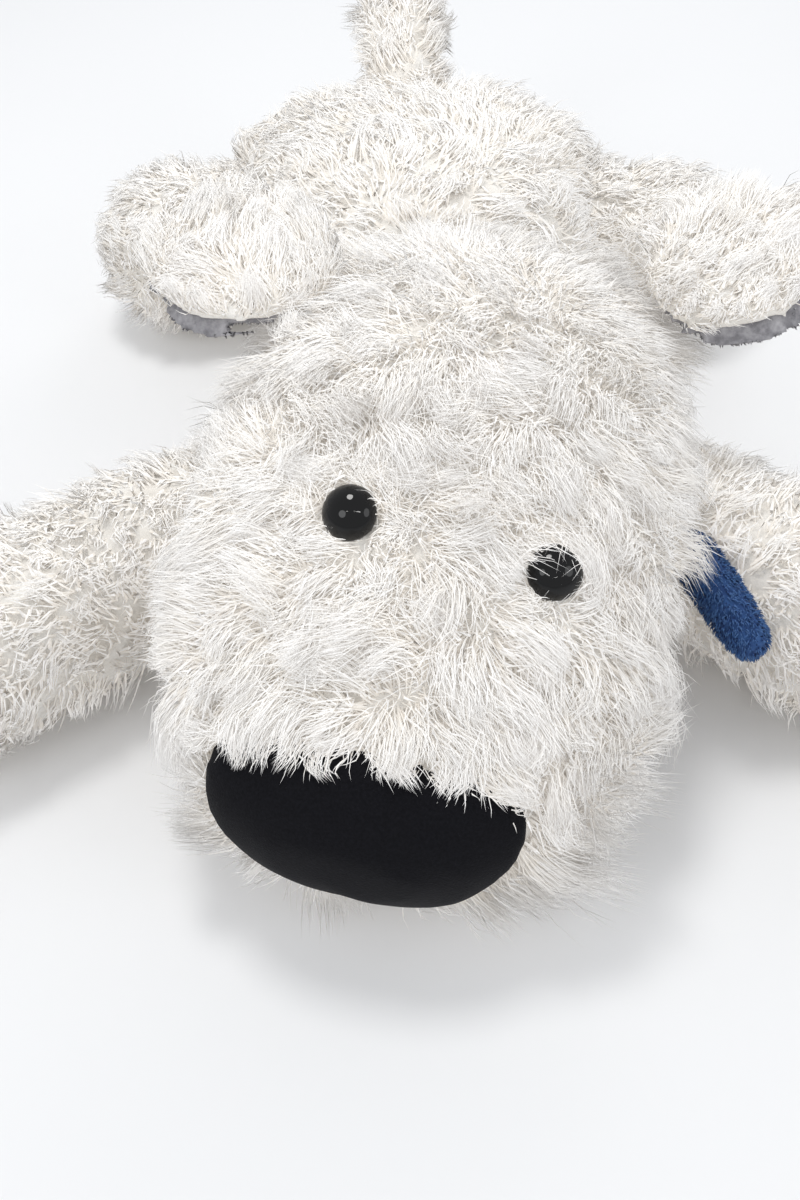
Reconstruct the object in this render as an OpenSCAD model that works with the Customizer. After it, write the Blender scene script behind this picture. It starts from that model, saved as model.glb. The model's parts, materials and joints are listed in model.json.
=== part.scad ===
// Plush dog lying flat on its belly: a stuffed head, torso, four legs and tail in fur-fabric
// covers, with clip-in eyes, a padded velvet nose, lined ears and a tied plush scarf.
// +Z is up, the dog faces -Y, and its own right side is -X. The origin is on the floor,
// under the centre of the whole toy.

/* [Torso] */
// Length of the torso from chest to rump
torso_len = 226; // [200:1:250]
// Width of the torso at the haunches
torso_w = 166; // [156:1:172]
// Height of the back above the floor
torso_h = 116; // [108:1:124]

/* [Head] */
// Length of the head from muzzle to nape
head_len = 256; // [246:1:262]
// Width of the head at the cheeks
head_w = 156; // [148:1:160]
// Turn of the head towards the dog's right at rest
head_turn = 12; // [6:1:14]
// Tilt of the crown towards the dog's left at rest
head_tilt = 7; // [4:1:9]

/* [Face] */
// Diameter of the clip-in eye domes
eye_d = 18; // [14:1:20]
// Distance between the eye centres
eye_gap = 64; // [58:1:68]
// Width of the padded nose
nose_w = 100; // [84:1:104]

/* [Ears] */
// Length of an ear from its seam to its tip
ear_len = 66; // [58:1:72]
// Width of an ear across its middle
ear_w = 60; // [52:1:66]

/* [Legs and tail] */
// Length of a front leg from shoulder pivot to paw
front_len = 200; // [170:1:210]
// Length of a rear leg from hip pivot to paw
rear_len = 74; // [66:1:84]
// Length of the tail
tail_len = 84; // [66:1:92]

/* [Scarf] */
// Thickness of the stuffed scarf tube
scarf_d = 16; // [13:1:18]
// Length of the long scarf end from the knot to its tip
scarf_end = 92; // [70:1:100]

/* [Covers] */
// Thickness of a fur-fabric cover with its backing
cover = 3; // [2:0.5:4]

/* [Hidden] */

RIGHT = -1;
LEFT = 1;
ivory = [0.93, 0.91, 0.86];
wadding = [0.97, 0.97, 0.97];
navy = [0.09, 0.27, 0.52];
black = [0.05, 0.05, 0.06];
grey = [0.62, 0.61, 0.63];
play = 0.5;                 // free gap between a cover and its filling
slack = 1.6;                // free gap between a limb's round root and its seat
sides = 26;                 // corners of a stuffed cross-section
rows = 13;                  // cross-sections along a stuffed piece
coarse = 18;                // corners of a cross-section inside a cover

// Plan centre of the whole toy, moved to the origin.
mid = [-24.5, -38.5, 0];

// Neck: a stuffed ball under the skull, on which the head turns and nods.
neck = mid + [38, -2, 70];
neck_r = 31;

// Torso cross-sections from chest to rump: side shift, centre height, half width, up, down.
// The low chest shelf in front lies under the neck and carries the front legs.
torso_y = [12 - 76, 18 + torso_len];
torso_cols = [
    [27, 27, 41, 24, 29],
    [27, 30, 46, 28, 32],
    [25, 33, 0.32 * torso_w, 40, 36],
    [18, 0.50 * torso_h, 0.41 * torso_w, 0.47 * torso_h, 0.54 * torso_h],
    [9, 0.51 * torso_h, 0.49 * torso_w, 0.49 * torso_h, 0.54 * torso_h],
    [5, 0.52 * torso_h, 0.66 * torso_w, 0.47 * torso_h, 0.55 * torso_h],
    [6, 0.52 * torso_h, 0.64 * torso_w, 0.50 * torso_h, 0.54 * torso_h]
];
floor_cut = 3;              // height at which the torso cover meets the flat belly panel

// Head cross-sections from muzzle to nape, measured from the neck pivot. The underside rises
// behind the chin, so that the cheeks pass over the front legs.
head_y = [48 - head_len, 48];
head_cols = [
    [0, -17, 0.44 * head_w, 30, 42],
    [0, -12, 0.50 * head_w, 42, 50],
    [0, 8, 0.51 * head_w, 50, 24],
    [0, 16, 0.50 * head_w, 54, 10],
    [0, 18, 0.47 * head_w, 51, 8],
    [0, 16, 0.40 * head_w, 38, 8]
];
chin_z = -44;               // seam between the head cover and the chin panel

leg_r = 35;                 // front leg radius along the shank
shoulder_r = 29;
shoulder = [62, 0, 0];       // each side of the chest centre
chest = mid + [26, -20, 37];
splay = [38, 40];           // right and left front legs point this far forward of sideways
hip_r = 37;
hip = [88, 0, 0];            // each side of the rump centre
rump = mid + [9, 168, 41];
rear_splay = 8;
hip_swing = 12;
tail_root = mid + [0, 222, 100];
tail_r = 17;

// ---- curves -------------------------------------------------------------------------

// Point at u along a smooth curve through evenly spaced rows of numbers.
function spline(p, u) =
    let (
        n = len(p) - 1,
        k = min(floor(u * n), n - 1),
        f = u * n - k,
        a = p[max(k - 1, 0)], b = p[k], c = p[k + 1], d = p[min(k + 2, n)]
    )
    0.5 * (2 * b + (c - a) * f + (2 * a - 5 * b + 4 * c - d) * f * f
        + (3 * b - a - 3 * c + d) * f * f * f);

function power(v, e) = sign(v) * pow(abs(v), e);

// Corners of one cross-section: half width w, reach up and down, squareness q.
function section(y, x0, z0, w, up, down, q, n) = [
    for (i = [0:n - 1])
        let (a = 360 * i / n, s = power(sin(a), 2 / q))
        [x0 + w * power(cos(a), 2 / q), y, z0 + (s > 0 ? up : down) * s]
];

// Closed solid through a list of cross-sections that all have n corners.
module loft(list, n) {
    m = len(list);
    points = [for (ring = list) each ring];
    first = [for (i = [0:n - 1]) i];
    last = [for (i = [n - 1:-1:0]) (m - 1) * n + i];
    quads = [
        for (k = [0:m - 2], i = [0:n - 1])
            let (j = (i + 1) % n, a = k * n + i, b = k * n + j)
            each [[a, a + n, b + n], [a, b + n, b]]
    ];
    polyhedron(points, concat([first], quads, [last]));
}

// Stuffed form between two ends of y, rounded at both ends, inset on every side.
module stuffed(ends, cols, inset = 0, blunt = 2.7, q = 2.3, n = sides, m = rows) {
    y0 = ends[0] + inset;
    y1 = ends[1] - inset;
    loft([
        for (k = [m:-1:0])
            let (
                t = 0.5 - 0.5 * cos(8 + 164 * k / m),
                e = pow(1 - pow(abs(2 * t - 1), blunt), 1 / blunt),
                c = spline(cols, t)
            )
            section(y0 + (y1 - y0) * t, c[0], c[1],
                (c[2] - inset) * e, (c[3] - inset) * e, (c[4] - inset) * e, q, n)
    ], n);
}

// Ball made as a loft, so that it cuts and joins cleanly with the stuffed forms.
module ball(r, n = 20) {
    loft([
        for (k = [9:-1:0])
            let (a = 8 + 164 * k / 9)
            section(-r * cos(a), 0, 0, r * sin(a), r * sin(a), r * sin(a), 2, n)
    ], n);
}

// Limb along -Y from a round root at the pivot, r0 at the root, r1 along the shank, r2 at the paw.
module limb(reach, r0, r1, r2, inset = 0, n = 16) {
    a = r0 - inset;
    c = r2 - inset;
    shank = reach - r2;
    radii = [a, r1 - inset, r1 - inset, c];
    loft(concat(
        [for (k = [4:-1:0]) let (f = 8 + 82 * (4 - k) / 4)
            section(a * cos(f), 0, 0, a * sin(f), a * sin(f), a * sin(f), 2, n)],
        [for (k = [1:4]) let (u = k / 5, r = spline(radii, u))
            section(-shank * u, 0, 0, r, r, r, 2, n)],
        [for (k = [0:5]) let (f = 90 - 82 * k / 5)
            section(-shank - c * cos(f), 0, 0, c * sin(f), c * sin(f), c * sin(f), 2, n)]
    ), n);
}

// ---- placing ------------------------------------------------------------------------

module at_head() translate(neck) rotate([0, head_tilt, -head_turn]) children();

module at_shoulder(side)
    translate(chest + side * shoulder)
        rotate([0, 0, side * (90 - splay[side == LEFT ? 1 : 0])]) children();

module at_hip(side)
    translate(rump + side * hip)
        rotate([0, 0, side * (90 - rear_splay)]) children();

// Height of the head's upper surface above the neck pivot.
function crown(x, y) =
    let (
        t = (y - head_y[0]) / head_len,
        e = pow(1 - pow(abs(2 * t - 1), 2.9), 1 / 2.9),
        c = spline(head_cols, t)
    )
    c[1] + c[3] * e * pow(1 - pow(abs(x) / (c[2] * e), 2.3), 1 / 2.3);

// The middle of a dome's flat back, on the cover.
eye_y = -126;
module at_eye(side)
    at_head() translate([side * eye_gap / 2 + 9, eye_y, crown(side * eye_gap / 2 + 9, eye_y) + 0.8])
        rotate([0, 0, side * 16]) rotate([42, 0, 0]) translate([0, 0, 1]) children();

module at_ear(side)
    at_head() translate(side == LEFT ? [57, -10, 64] : [-58, -30, 62])
        rotate([0, 0, side == LEFT ? 136 : -85]) rotate([side == LEFT ? -18 : -5, side * -20, 0])
            children();

module at_tail() translate(tail_root) rotate([-50, -6, 0]) children();

// ---- torso --------------------------------------------------------------------------

// Seats for the skull, the neck ball, the four legs and the tail are left open in the form.
module torso_form(inset = 0, n = sides) {
    difference() {
        translate(mid) stuffed(torso_y, torso_cols, inset, n = n, m = 15);
        translate([neck[0], neck[1], 58 - inset]) cylinder(r = 80 + inset, h = 200, $fn = 36);
        translate(neck) ball(neck_r + slack + 1.2 * inset, 20);
        for (side = [RIGHT, LEFT]) {
            at_shoulder(side) ball(shoulder_r + slack + 1.2 * inset, 20);
            at_hip(side) {
                ball(hip_r + slack + 1.2 * inset, 20);
                for (swing = [-hip_swing, hip_swing])
                    rotate([0, 0, swing]) rotate([90, 0, 0])
                        cylinder(r = hip_r + slack + 1.2 * inset, h = 70, $fn = 20);
            }
        }
        at_tail() ball(tail_r + slack + 1.2 * inset, 16);
        translate([-200, -200, -50]) cube([400, 600, 50 + floor_cut + inset]);
    }
}

module torso_back_shell() color(ivory) difference() {
    torso_form();
    torso_form(cover, coarse);
}

// Flat oval of short-pile fabric that closes the underside.
belly = [58, 96];
module belly_oval(inset = 0)
    translate([mid[0] + 3, mid[1] + 124]) polygon([
        for (i = [0:47])
            let (a = 7.5 * i)
            [(belly[0] - inset) * power(cos(a), 0.85), (belly[1] - inset) * power(sin(a), 0.85)]
    ]);

module torso_belly_panel() color(ivory) linear_extrude(floor_cut) belly_oval();

module torso_filling() color(wadding) difference() {
    torso_form(cover + play, coarse);
    pouch_form(-play);
}

pouch = mid + [3, 130, 26];       // centre of the weight pouch in the belly
module pouch_form(inset = 0)
    translate(pouch) stuffed([-62, 62], [[0, 0, 26, 12, 12], [0, 0, 29, 15, 14], [0, 0, 26, 12, 12]],
        inset, m = 8, n = 20);

module pellet_pouch() color("white") difference() {
    pouch_form();
    pouch_form(1.2);
}

module pellet_fill() color("ivory") pouch_form(1.2 + play);

// ---- neck ---------------------------------------------------------------------------

module neck_shell() color(ivory) translate(neck) difference() {
    sphere(r = neck_r, $fn = 48);
    sphere(r = neck_r - cover, $fn = 48);
}

module neck_filling() color(wadding) translate(neck) sphere(r = neck_r - cover - play, $fn = 48);

// ---- head ---------------------------------------------------------------------------

module head_form(inset = 0, n = sides) {
    difference() {
        stuffed(head_y, head_cols, inset, blunt = 2.9, n = n, m = 14);
        ball(neck_r + slack + 1.2 * inset, 20);
    }
}

module head_split(lower)
    translate([-120, -260, lower ? chin_z - 100 : chin_z]) cube([240, 400, lower ? 100 : 260]);

module head_wall() difference() {
    head_form();
    head_form(cover, 22);
}

module head_shell() color(ivory) difference() {
    at_head() intersection() { head_wall(); head_split(false); }
    for (side = [RIGHT, LEFT]) at_eye(side) cylinder(r = 2.7, h = 60, center = true, $fn = 16);
}

module chin_panel() color(ivory) at_head() intersection() { head_wall(); head_split(true); }

module head_filling() color(wadding) difference() {
    at_head() head_form(cover + play, 22);
    for (side = [RIGHT, LEFT]) at_eye(side) translate([0, 0, -26]) cylinder(r = 10, h = 60, $fn = 18);
}

// Padded nose sewn on the front of the muzzle: a half-moon, flat above and round below.
nose_rise = 5;
function nose_outline(grow) = [
    for (i = [0:31])
        let (
            a = 11.25 * i, full = a < 180 ? 0.75 : 1.05,
            c = power(cos(a), full), s = power(sin(a), full),
            notch = s < 0 ? 4 * pow(max(0, 1 - abs(c) * 4), 2) : 0
        )
        [(nose_w / 2 + grow) * c, (s > 0 ? 19 + grow : 34 + grow) * s + notch]
];
module nose_prism(grow = 0)
    translate([3, 0, -7]) rotate([90, 0, 0]) linear_extrude(260) polygon(nose_outline(grow));

module nose_pad(outer, inner, grow) intersection() {
    difference() {
        stuffed(head_y, head_cols, -outer, blunt = 2.9, m = 14);
        stuffed(head_y, head_cols, -inner, blunt = 2.9, m = 14);
    }
    nose_prism(grow);
    translate([-120, -260, -90]) cube([240, 100, 180]);
}

module nose_cover() color(black) at_head() difference() {
    nose_pad(nose_rise, play, 0);
    nose_pad(nose_rise - 1.2, play - 1, -1.2);
}

module nose_filling() color(wadding) at_head() nose_pad(nose_rise - 1.2 - play, play, -1.2 - play);

// ---- eyes ---------------------------------------------------------------------------

// Moulded dome with a ribbed stem: +Z looks out of the face.
module eye(side) color(black) at_eye(side) rotate_extrude($fn = 48) polygon(concat(
    [for (i = [0:9]) let (a = 90 - 10 * i) [eye_d / 2 * cos(a), 6.8 * sin(a) + 1.6]],
    [[eye_d / 2, 0.6], [2.2, 0.6]],
    [for (k = [0:4]) each [[2.2, -1 - 3 * k], [1.7, -1.6 - 3 * k], [1.7, -2.4 - 3 * k], [2.2, -3 - 3 * k]]],
    [[1.6, -17], [0, -17]]
));

module eye_washer(side) color("white") at_eye(side) translate([0, 0, -cover - play - 5])
    rotate_extrude($fn = 48) polygon([[2.3, 0], [8.5, -1], [8.5, 0.4], [4.5, 1.4], [2.3, 1.6]]);

// ---- ears ---------------------------------------------------------------------------

// Flat lofted leaf along -Y, curling down towards its tip. up and down are its thicknesses.
module ear_leaf(up, down, margin)
    stuffed([-ear_len + margin, 2], [
        [2, -13, 0.30 * ear_w - margin, up, down],
        [1, -5, 0.46 * ear_w - margin, up, down],
        [0, 0, 0.50 * ear_w - margin, up, down],
        [0, 2, 0.44 * ear_w - margin, up, down],
        [0, 0, 0.38 * ear_w - margin, up, down]
    ], 0, blunt = 2.6, q = 2, n = 20, m = 9);

module ear_outer(side) color(ivory) at_ear(side) translate([0, 0, 0.2]) ear_leaf(5, 0, 0);
module ear_lining(side) color(grey) at_ear(side) translate([0, 0, -0.2]) ear_leaf(0, 4, 0.5);

// ---- scarf --------------------------------------------------------------------------

knot = mid + [62, -68, 52];       // centre of the knot, low on the left of the throat
scarf_r = scarf_d / 2;
band_z = [61.5, 67.5];
band_r = 31.6;

module scarf_loop(grow) hull() {
    translate([neck[0], neck[1]]) circle(r = band_r + grow, $fn = 48);
    translate([knot[0] - 4, knot[1] + 6]) circle(r = 2 + grow, $fn = 24);
}
module scarf_band() color(navy) difference() {
    translate([0, 0, band_z[0]]) linear_extrude(band_z[1] - band_z[0]) difference() {
        scarf_loop(4);
        scarf_loop(0);
    }
    translate(knot) cylinder(r = 9, h = 60, center = true, $fn = 24);
}

module scarf_knot() color(navy) translate(knot) {
    rotate_extrude($fn = 36) polygon(concat(
        [[0, -9]],
        [for (a = [-75:15:75]) [3 + 5.6 * cos(a), 9 * sin(a) + (a > 0 ? 5 : 0)]],
        [[0, 14]]
    ));
}

// Stuffed tube with round ends along a smooth path; radii are spread evenly over the path.
module tube(path, radii, n = 16, m = 13) {
    loft([
        for (k = [0:m])
            let (
                t = 0.5 - 0.5 * cos(6 + 168 * k / m),
                r = spline(radii, t) * pow(1 - pow(abs(2 * t - 1), 5), 1 / 4),
                p = spline(path, t),
                d = spline(path, min(t + 0.01, 1)) - spline(path, max(t - 0.01, 0)),
                x = cross([0, 0, 1], d),
                side = x / norm(x),
                up = cross(d, side) / norm(d)
            )
            [for (i = [0:n - 1]) p + r * (cos(360 * i / n) * side + sin(360 * i / n) * up)]
    ], n);
}

at_end = mid + [74, -72, 54];     // pivot of the long scarf end beside the knot
module scarf_long_end() color(navy) translate(at_end) tube(
    [[-2, 0, -1], [20, 0, 3], [36, -8, 11], [47, -29, 7], [58, -48, -1] * scarf_end / 92],
    [0.6, 0.7, 0.9, 1, 0.95] * scarf_r
);

module scarf_short_end() color(navy) translate([knot[0] - 9, knot[1] - 6, knot[2] - 5])
    tube([[0, 0, 0], [-12, -1, -2], [-25, 3, -5], [-37, 8, -7]], [0.6, 0.7, 0.75, 0.7] * scarf_r);

// ---- legs and tail ------------------------------------------------------------------

module front_leg(inset = 0) limb(front_len, shoulder_r, leg_r, leg_r + 1, inset);
module rear_leg(inset = 0) limb(rear_len, hip_r, hip_r, hip_r + 2, inset);
module tail(inset = 0) rotate([-90, 0, 0]) limb(tail_len, tail_r, tail_r + 1, tail_r, inset, 14);

module front_leg_shell(side) color(ivory) at_shoulder(side) difference() {
    front_leg();
    front_leg(cover);
}
module front_leg_filling(side) color(wadding) at_shoulder(side) front_leg(cover + play);

module rear_leg_shell(side) color(ivory) at_hip(side) difference() {
    rear_leg();
    rear_leg(cover);
}
module rear_leg_filling(side) color(wadding) at_hip(side) rear_leg(cover + play);

module tail_shell() color(ivory) at_tail() difference() {
    tail();
    tail(cover);
}
module tail_filling() color(wadding) at_tail() tail(cover + play);

// ---- nodes --------------------------------------------------------------------------

torso_back_shell();
torso_belly_panel();
torso_filling();
pellet_pouch();
pellet_fill();
neck_shell();
neck_filling();
head_shell();
chin_panel();
head_filling();
nose_cover();
nose_filling();
eye(RIGHT);  // eye_right
eye(LEFT);  // eye_left
eye_washer(RIGHT);  // eye_washer_right
eye_washer(LEFT);  // eye_washer_left
ear_outer(RIGHT);  // ear_right_outer
ear_lining(RIGHT);  // ear_right_lining
ear_outer(LEFT);  // ear_left_outer
ear_lining(LEFT);  // ear_left_lining
scarf_band();
scarf_knot();
scarf_long_end();
scarf_short_end();
front_leg_shell(RIGHT);  // front_leg_right_shell
front_leg_filling(RIGHT);  // front_leg_right_filling
front_leg_shell(LEFT);  // front_leg_left_shell
front_leg_filling(LEFT);  // front_leg_left_filling
rear_leg_shell(RIGHT);  // rear_leg_right_shell
rear_leg_filling(RIGHT);  // rear_leg_right_filling
rear_leg_shell(LEFT);  // rear_leg_left_shell
rear_leg_filling(LEFT);  // rear_leg_left_filling
tail_shell();
tail_filling();
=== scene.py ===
"""Looks of a long-haired stuffed dog lying on its belly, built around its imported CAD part.

Covers are the CAD forms rounded by their filling. The long pile is real geometry: tapered
strands that grow from each cover, gather into locks and follow a combed direction. All
sizes are in metres and all angles in degrees.
"""

import json
import logging
import math
from collections.abc import Callable
from dataclasses import dataclass, field, replace
from enum import Enum
from functools import partial

import bmesh
import bpy
import numpy as np
from mathutils import Matrix, Vector
from mathutils.kdtree import KDTree


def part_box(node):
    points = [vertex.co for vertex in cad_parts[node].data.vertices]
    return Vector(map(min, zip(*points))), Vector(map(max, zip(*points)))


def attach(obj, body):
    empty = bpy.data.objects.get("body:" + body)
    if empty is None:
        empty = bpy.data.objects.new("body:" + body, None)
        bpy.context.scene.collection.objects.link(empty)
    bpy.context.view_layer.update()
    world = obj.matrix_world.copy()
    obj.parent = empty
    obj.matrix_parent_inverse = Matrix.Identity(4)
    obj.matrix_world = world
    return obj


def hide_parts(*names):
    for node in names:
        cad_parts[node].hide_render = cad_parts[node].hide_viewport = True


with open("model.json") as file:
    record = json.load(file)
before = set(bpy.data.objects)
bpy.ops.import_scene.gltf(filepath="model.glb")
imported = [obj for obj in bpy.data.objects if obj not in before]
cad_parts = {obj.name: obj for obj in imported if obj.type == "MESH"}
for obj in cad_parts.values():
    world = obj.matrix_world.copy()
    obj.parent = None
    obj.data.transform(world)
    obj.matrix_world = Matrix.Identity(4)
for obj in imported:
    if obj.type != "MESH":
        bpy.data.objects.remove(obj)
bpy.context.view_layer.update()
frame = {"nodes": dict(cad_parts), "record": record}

log = logging.getLogger("plush_dog")
Field = Callable[[np.ndarray, np.ndarray], np.ndarray]
Triple = tuple[float, float, float]


# ---- named options ------------------------------------------------------------------


class Slot(Enum):
    """Material slots of the record."""

    FUR = "ivory_fur"
    BELLY = "belly_pile"
    WADDING = "polyester_filling"
    POUCH = "pouch_cloth"
    PELLETS = "plastic_pellets"
    VELVET = "black_velvet"
    EYE = "black_eye"
    WASHER = "washer_plastic"
    LINING = "grey_pile"
    SCARF = "navy_plush"


class Side(Enum):
    """The dog's own sides."""

    RIGHT = "right"
    LEFT = "left"


class End(Enum):
    """Which pair of legs."""

    FRONT = "front"
    REAR = "rear"


# ---- finishes -----------------------------------------------------------------------


@dataclass(frozen=True)
class Finish:
    """A surface: two tones mixed by noise, a fine relief, a roughness and an optional painted
    glow: emission that lifts shade, though the surface is no lamp.
    """

    dark: Triple
    light: Triple
    grain: float = 0.0
    rough: float = 0.8
    sheen: float = 0.0
    gloss: float = 0.5
    # The glow is painted light: emission, though the surface is no lamp, that lifts the shade
    # between strands; its warm tint makes that lifted shade cream.
    painted_glow: float = 0.0
    painted_glow_tint: Triple = (1.0, 0.93, 0.85)
    relief: float = 0.0
    relief_grain: float = 600.0
    relief_strength: float = 0.6
    sheen_rough: float = 0.5
    grain_detail: float = 6.0
    grain_rough: float = 0.62
    dark_end: float = 0.36
    light_end: float = 0.66
    relief_detail: float = 4.0

    def material(self, name: str) -> bpy.types.Material:
        """Makes the finish as a node material on object coordinates.

        Args:
            name: Name of the material.

        Returns:
            The new material. It has no linked inputs when grain and relief are 0.
        """
        made = bpy.data.materials.new(name)
        made.use_nodes = True
        shader = made.node_tree.nodes["Principled BSDF"]
        for socket, value in {
            "Base Color": (*self.light, 1),
            "Roughness": self.rough,
            "Sheen Weight": self.sheen,
            "Sheen Roughness": self.sheen_rough,
            "Specular IOR Level": self.gloss,
            # Painted glow: emission that lifts the shade, though the surface is no lamp.
            "Emission Color": (*self.painted_glow_tint, 1),
            "Emission Strength": self.painted_glow,
        }.items():
            shader.inputs[socket].default_value = value
        if self.grain or self.relief:
            place = made.node_tree.nodes.new("ShaderNodeTexCoord").outputs["Object"]
        if self.grain:
            self._mix_tones(made.node_tree, shader, place)
        if self.relief:
            self._raise_relief(made.node_tree, shader, place)
        return made

    def _mix_tones(self, tree: bpy.types.NodeTree, shader: bpy.types.Node,
                   place: bpy.types.NodeSocket) -> None:
        """Mixes the two tones by noise.

        Args:
            tree: The material's nodes.
            shader: Its Principled shader.
            place: The object coordinates.
        """
        noise = tree.nodes.new("ShaderNodeTexNoise")
        noise.inputs["Scale"].default_value = self.grain
        noise.inputs["Detail"].default_value = self.grain_detail
        noise.inputs["Roughness"].default_value = self.grain_rough
        tree.links.new(place, noise.inputs["Vector"])
        ramp = tree.nodes.new("ShaderNodeValToRGB")
        low, high = ramp.color_ramp.elements
        low.position, high.position = self.dark_end, self.light_end
        low.color, high.color = (*self.dark, 1), (*self.light, 1)
        tree.links.new(noise.outputs["Fac"], ramp.inputs["Fac"])
        tree.links.new(ramp.outputs["Color"], shader.inputs["Base Color"])

    def _raise_relief(self, tree: bpy.types.NodeTree, shader: bpy.types.Node,
                      place: bpy.types.NodeSocket) -> None:
        """Raises a fine relief.

        Args:
            tree: The material's nodes.
            shader: Its Principled shader.
            place: The object coordinates.
        """
        fine = tree.nodes.new("ShaderNodeTexNoise")
        fine.inputs["Scale"].default_value = self.relief_grain
        fine.inputs["Detail"].default_value = self.relief_detail
        tree.links.new(place, fine.inputs["Vector"])
        bump = tree.nodes.new("ShaderNodeBump")
        bump.inputs["Strength"].default_value = self.relief_strength
        bump.inputs["Distance"].default_value = self.relief
        tree.links.new(fine.outputs["Fac"], bump.inputs["Height"])
        tree.links.new(bump.outputs["Normal"], shader.inputs["Normal"])


BLACK = (0.0, 0.0, 0.0)


def tone(light: Triple, rough: float, gloss: float = 0.5, painted_glow: float = 0.0) -> Finish:
    """Returns a plain tone, for strands, with an optional painted glow that lifts their shade."""
    return Finish(BLACK, light, rough=rough, gloss=gloss, painted_glow=painted_glow)


class Finishes:
    """Every finish of the toy, each made at its first use."""

    UNDERCOAT = Finish((0.85, 0.81, 0.75), (0.94, 0.92, 0.88), 90, 0.95, relief=0.0016,
                       relief_grain=260)
    BELLY = Finish((0.70, 0.65, 0.57), (0.80, 0.76, 0.69), 160, 0.95, relief=0.0005)
    VELVET = Finish((0.0025, 0.0025, 0.004), (0.006, 0.006, 0.0085), 1100, 0.85, 0.04,
                    relief=0.0004, relief_grain=1800, gloss=0.12)
    EYE = Finish(BLACK, (0.0005, 0.0005, 0.0008), rough=0.025, gloss=0.36)
    LINING = Finish((0.20, 0.195, 0.21), (0.44, 0.43, 0.45), 240, 0.9, 0.2, relief=0.0005)
    SCARF = Finish((0.011, 0.048, 0.17), (0.030, 0.100, 0.28), 150, 0.85, 0.15, relief=0.0005)
    WADDING = Finish((0.82, 0.82, 0.82), (0.93, 0.93, 0.93), 120, 0.95, relief=0.0008)
    POUCH = Finish((0.72, 0.71, 0.68), (0.82, 0.81, 0.78), 400, 0.9)
    PELLETS = Finish((0.66, 0.66, 0.62), (0.88, 0.88, 0.84), 300, 0.6)
    WASHER = Finish((0.78, 0.78, 0.78), (0.84, 0.84, 0.84), 200, 0.45)
    FLOOR = Finish(BLACK, (0.875, 0.88, 0.89), rough=0.95, gloss=0.1)

    # Every fur tone paints light: an emission of 0.17 in the warm glow tint lifts the shade
    # between the strands and turns it cream.
    FUR_TONES = (
        tone((0.93, 0.885, 0.82), 0.9, 0.2, 0.17),
        tone((0.94, 0.90, 0.845), 0.85, 0.2, 0.17),
        tone((0.955, 0.93, 0.89), 0.8, 0.25, 0.17),
        tone((0.97, 0.955, 0.935), 0.75, 0.3, 0.17),
        tone((0.98, 0.975, 0.97), 0.7, 0.3, 0.17),
    )
    SCARF_TONES = (
        tone((0.008, 0.034, 0.13), 0.8),
        tone((0.018, 0.072, 0.24), 0.7),
        tone((0.050, 0.135, 0.34), 0.65),
    )
    LINING_TONES = (
        tone((0.16, 0.155, 0.17), 0.8),
        tone((0.33, 0.325, 0.34), 0.8),
        tone((0.52, 0.51, 0.53), 0.7),
    )

    def __init__(self) -> None:
        """Starts with no finish made."""
        self._made: dict[str, bpy.types.Material] = {}

    def get(self, name: str, finish: Finish) -> bpy.types.Material:
        """Returns the named material, making it at first use."""
        if name not in self._made:
            self._made[name] = finish.material(name)
        return self._made[name]

    def tones(self, name: str, tones: tuple[Finish, ...]) -> list[bpy.types.Material]:
        """Returns the plain tones that a coat of strands is made of, darkest first."""
        return [self.get(f"{name}_{i}", each) for i, each in enumerate(tones)]


# ---- modelling by hand --------------------------------------------------------------


@dataclass(frozen=True)
class Cloth:
    """How a cover is sewn and filled."""

    voxel: float
    swell: float
    smooth: int = 4
    fill: float = 0.7
    pressure: float = 4.0


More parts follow.
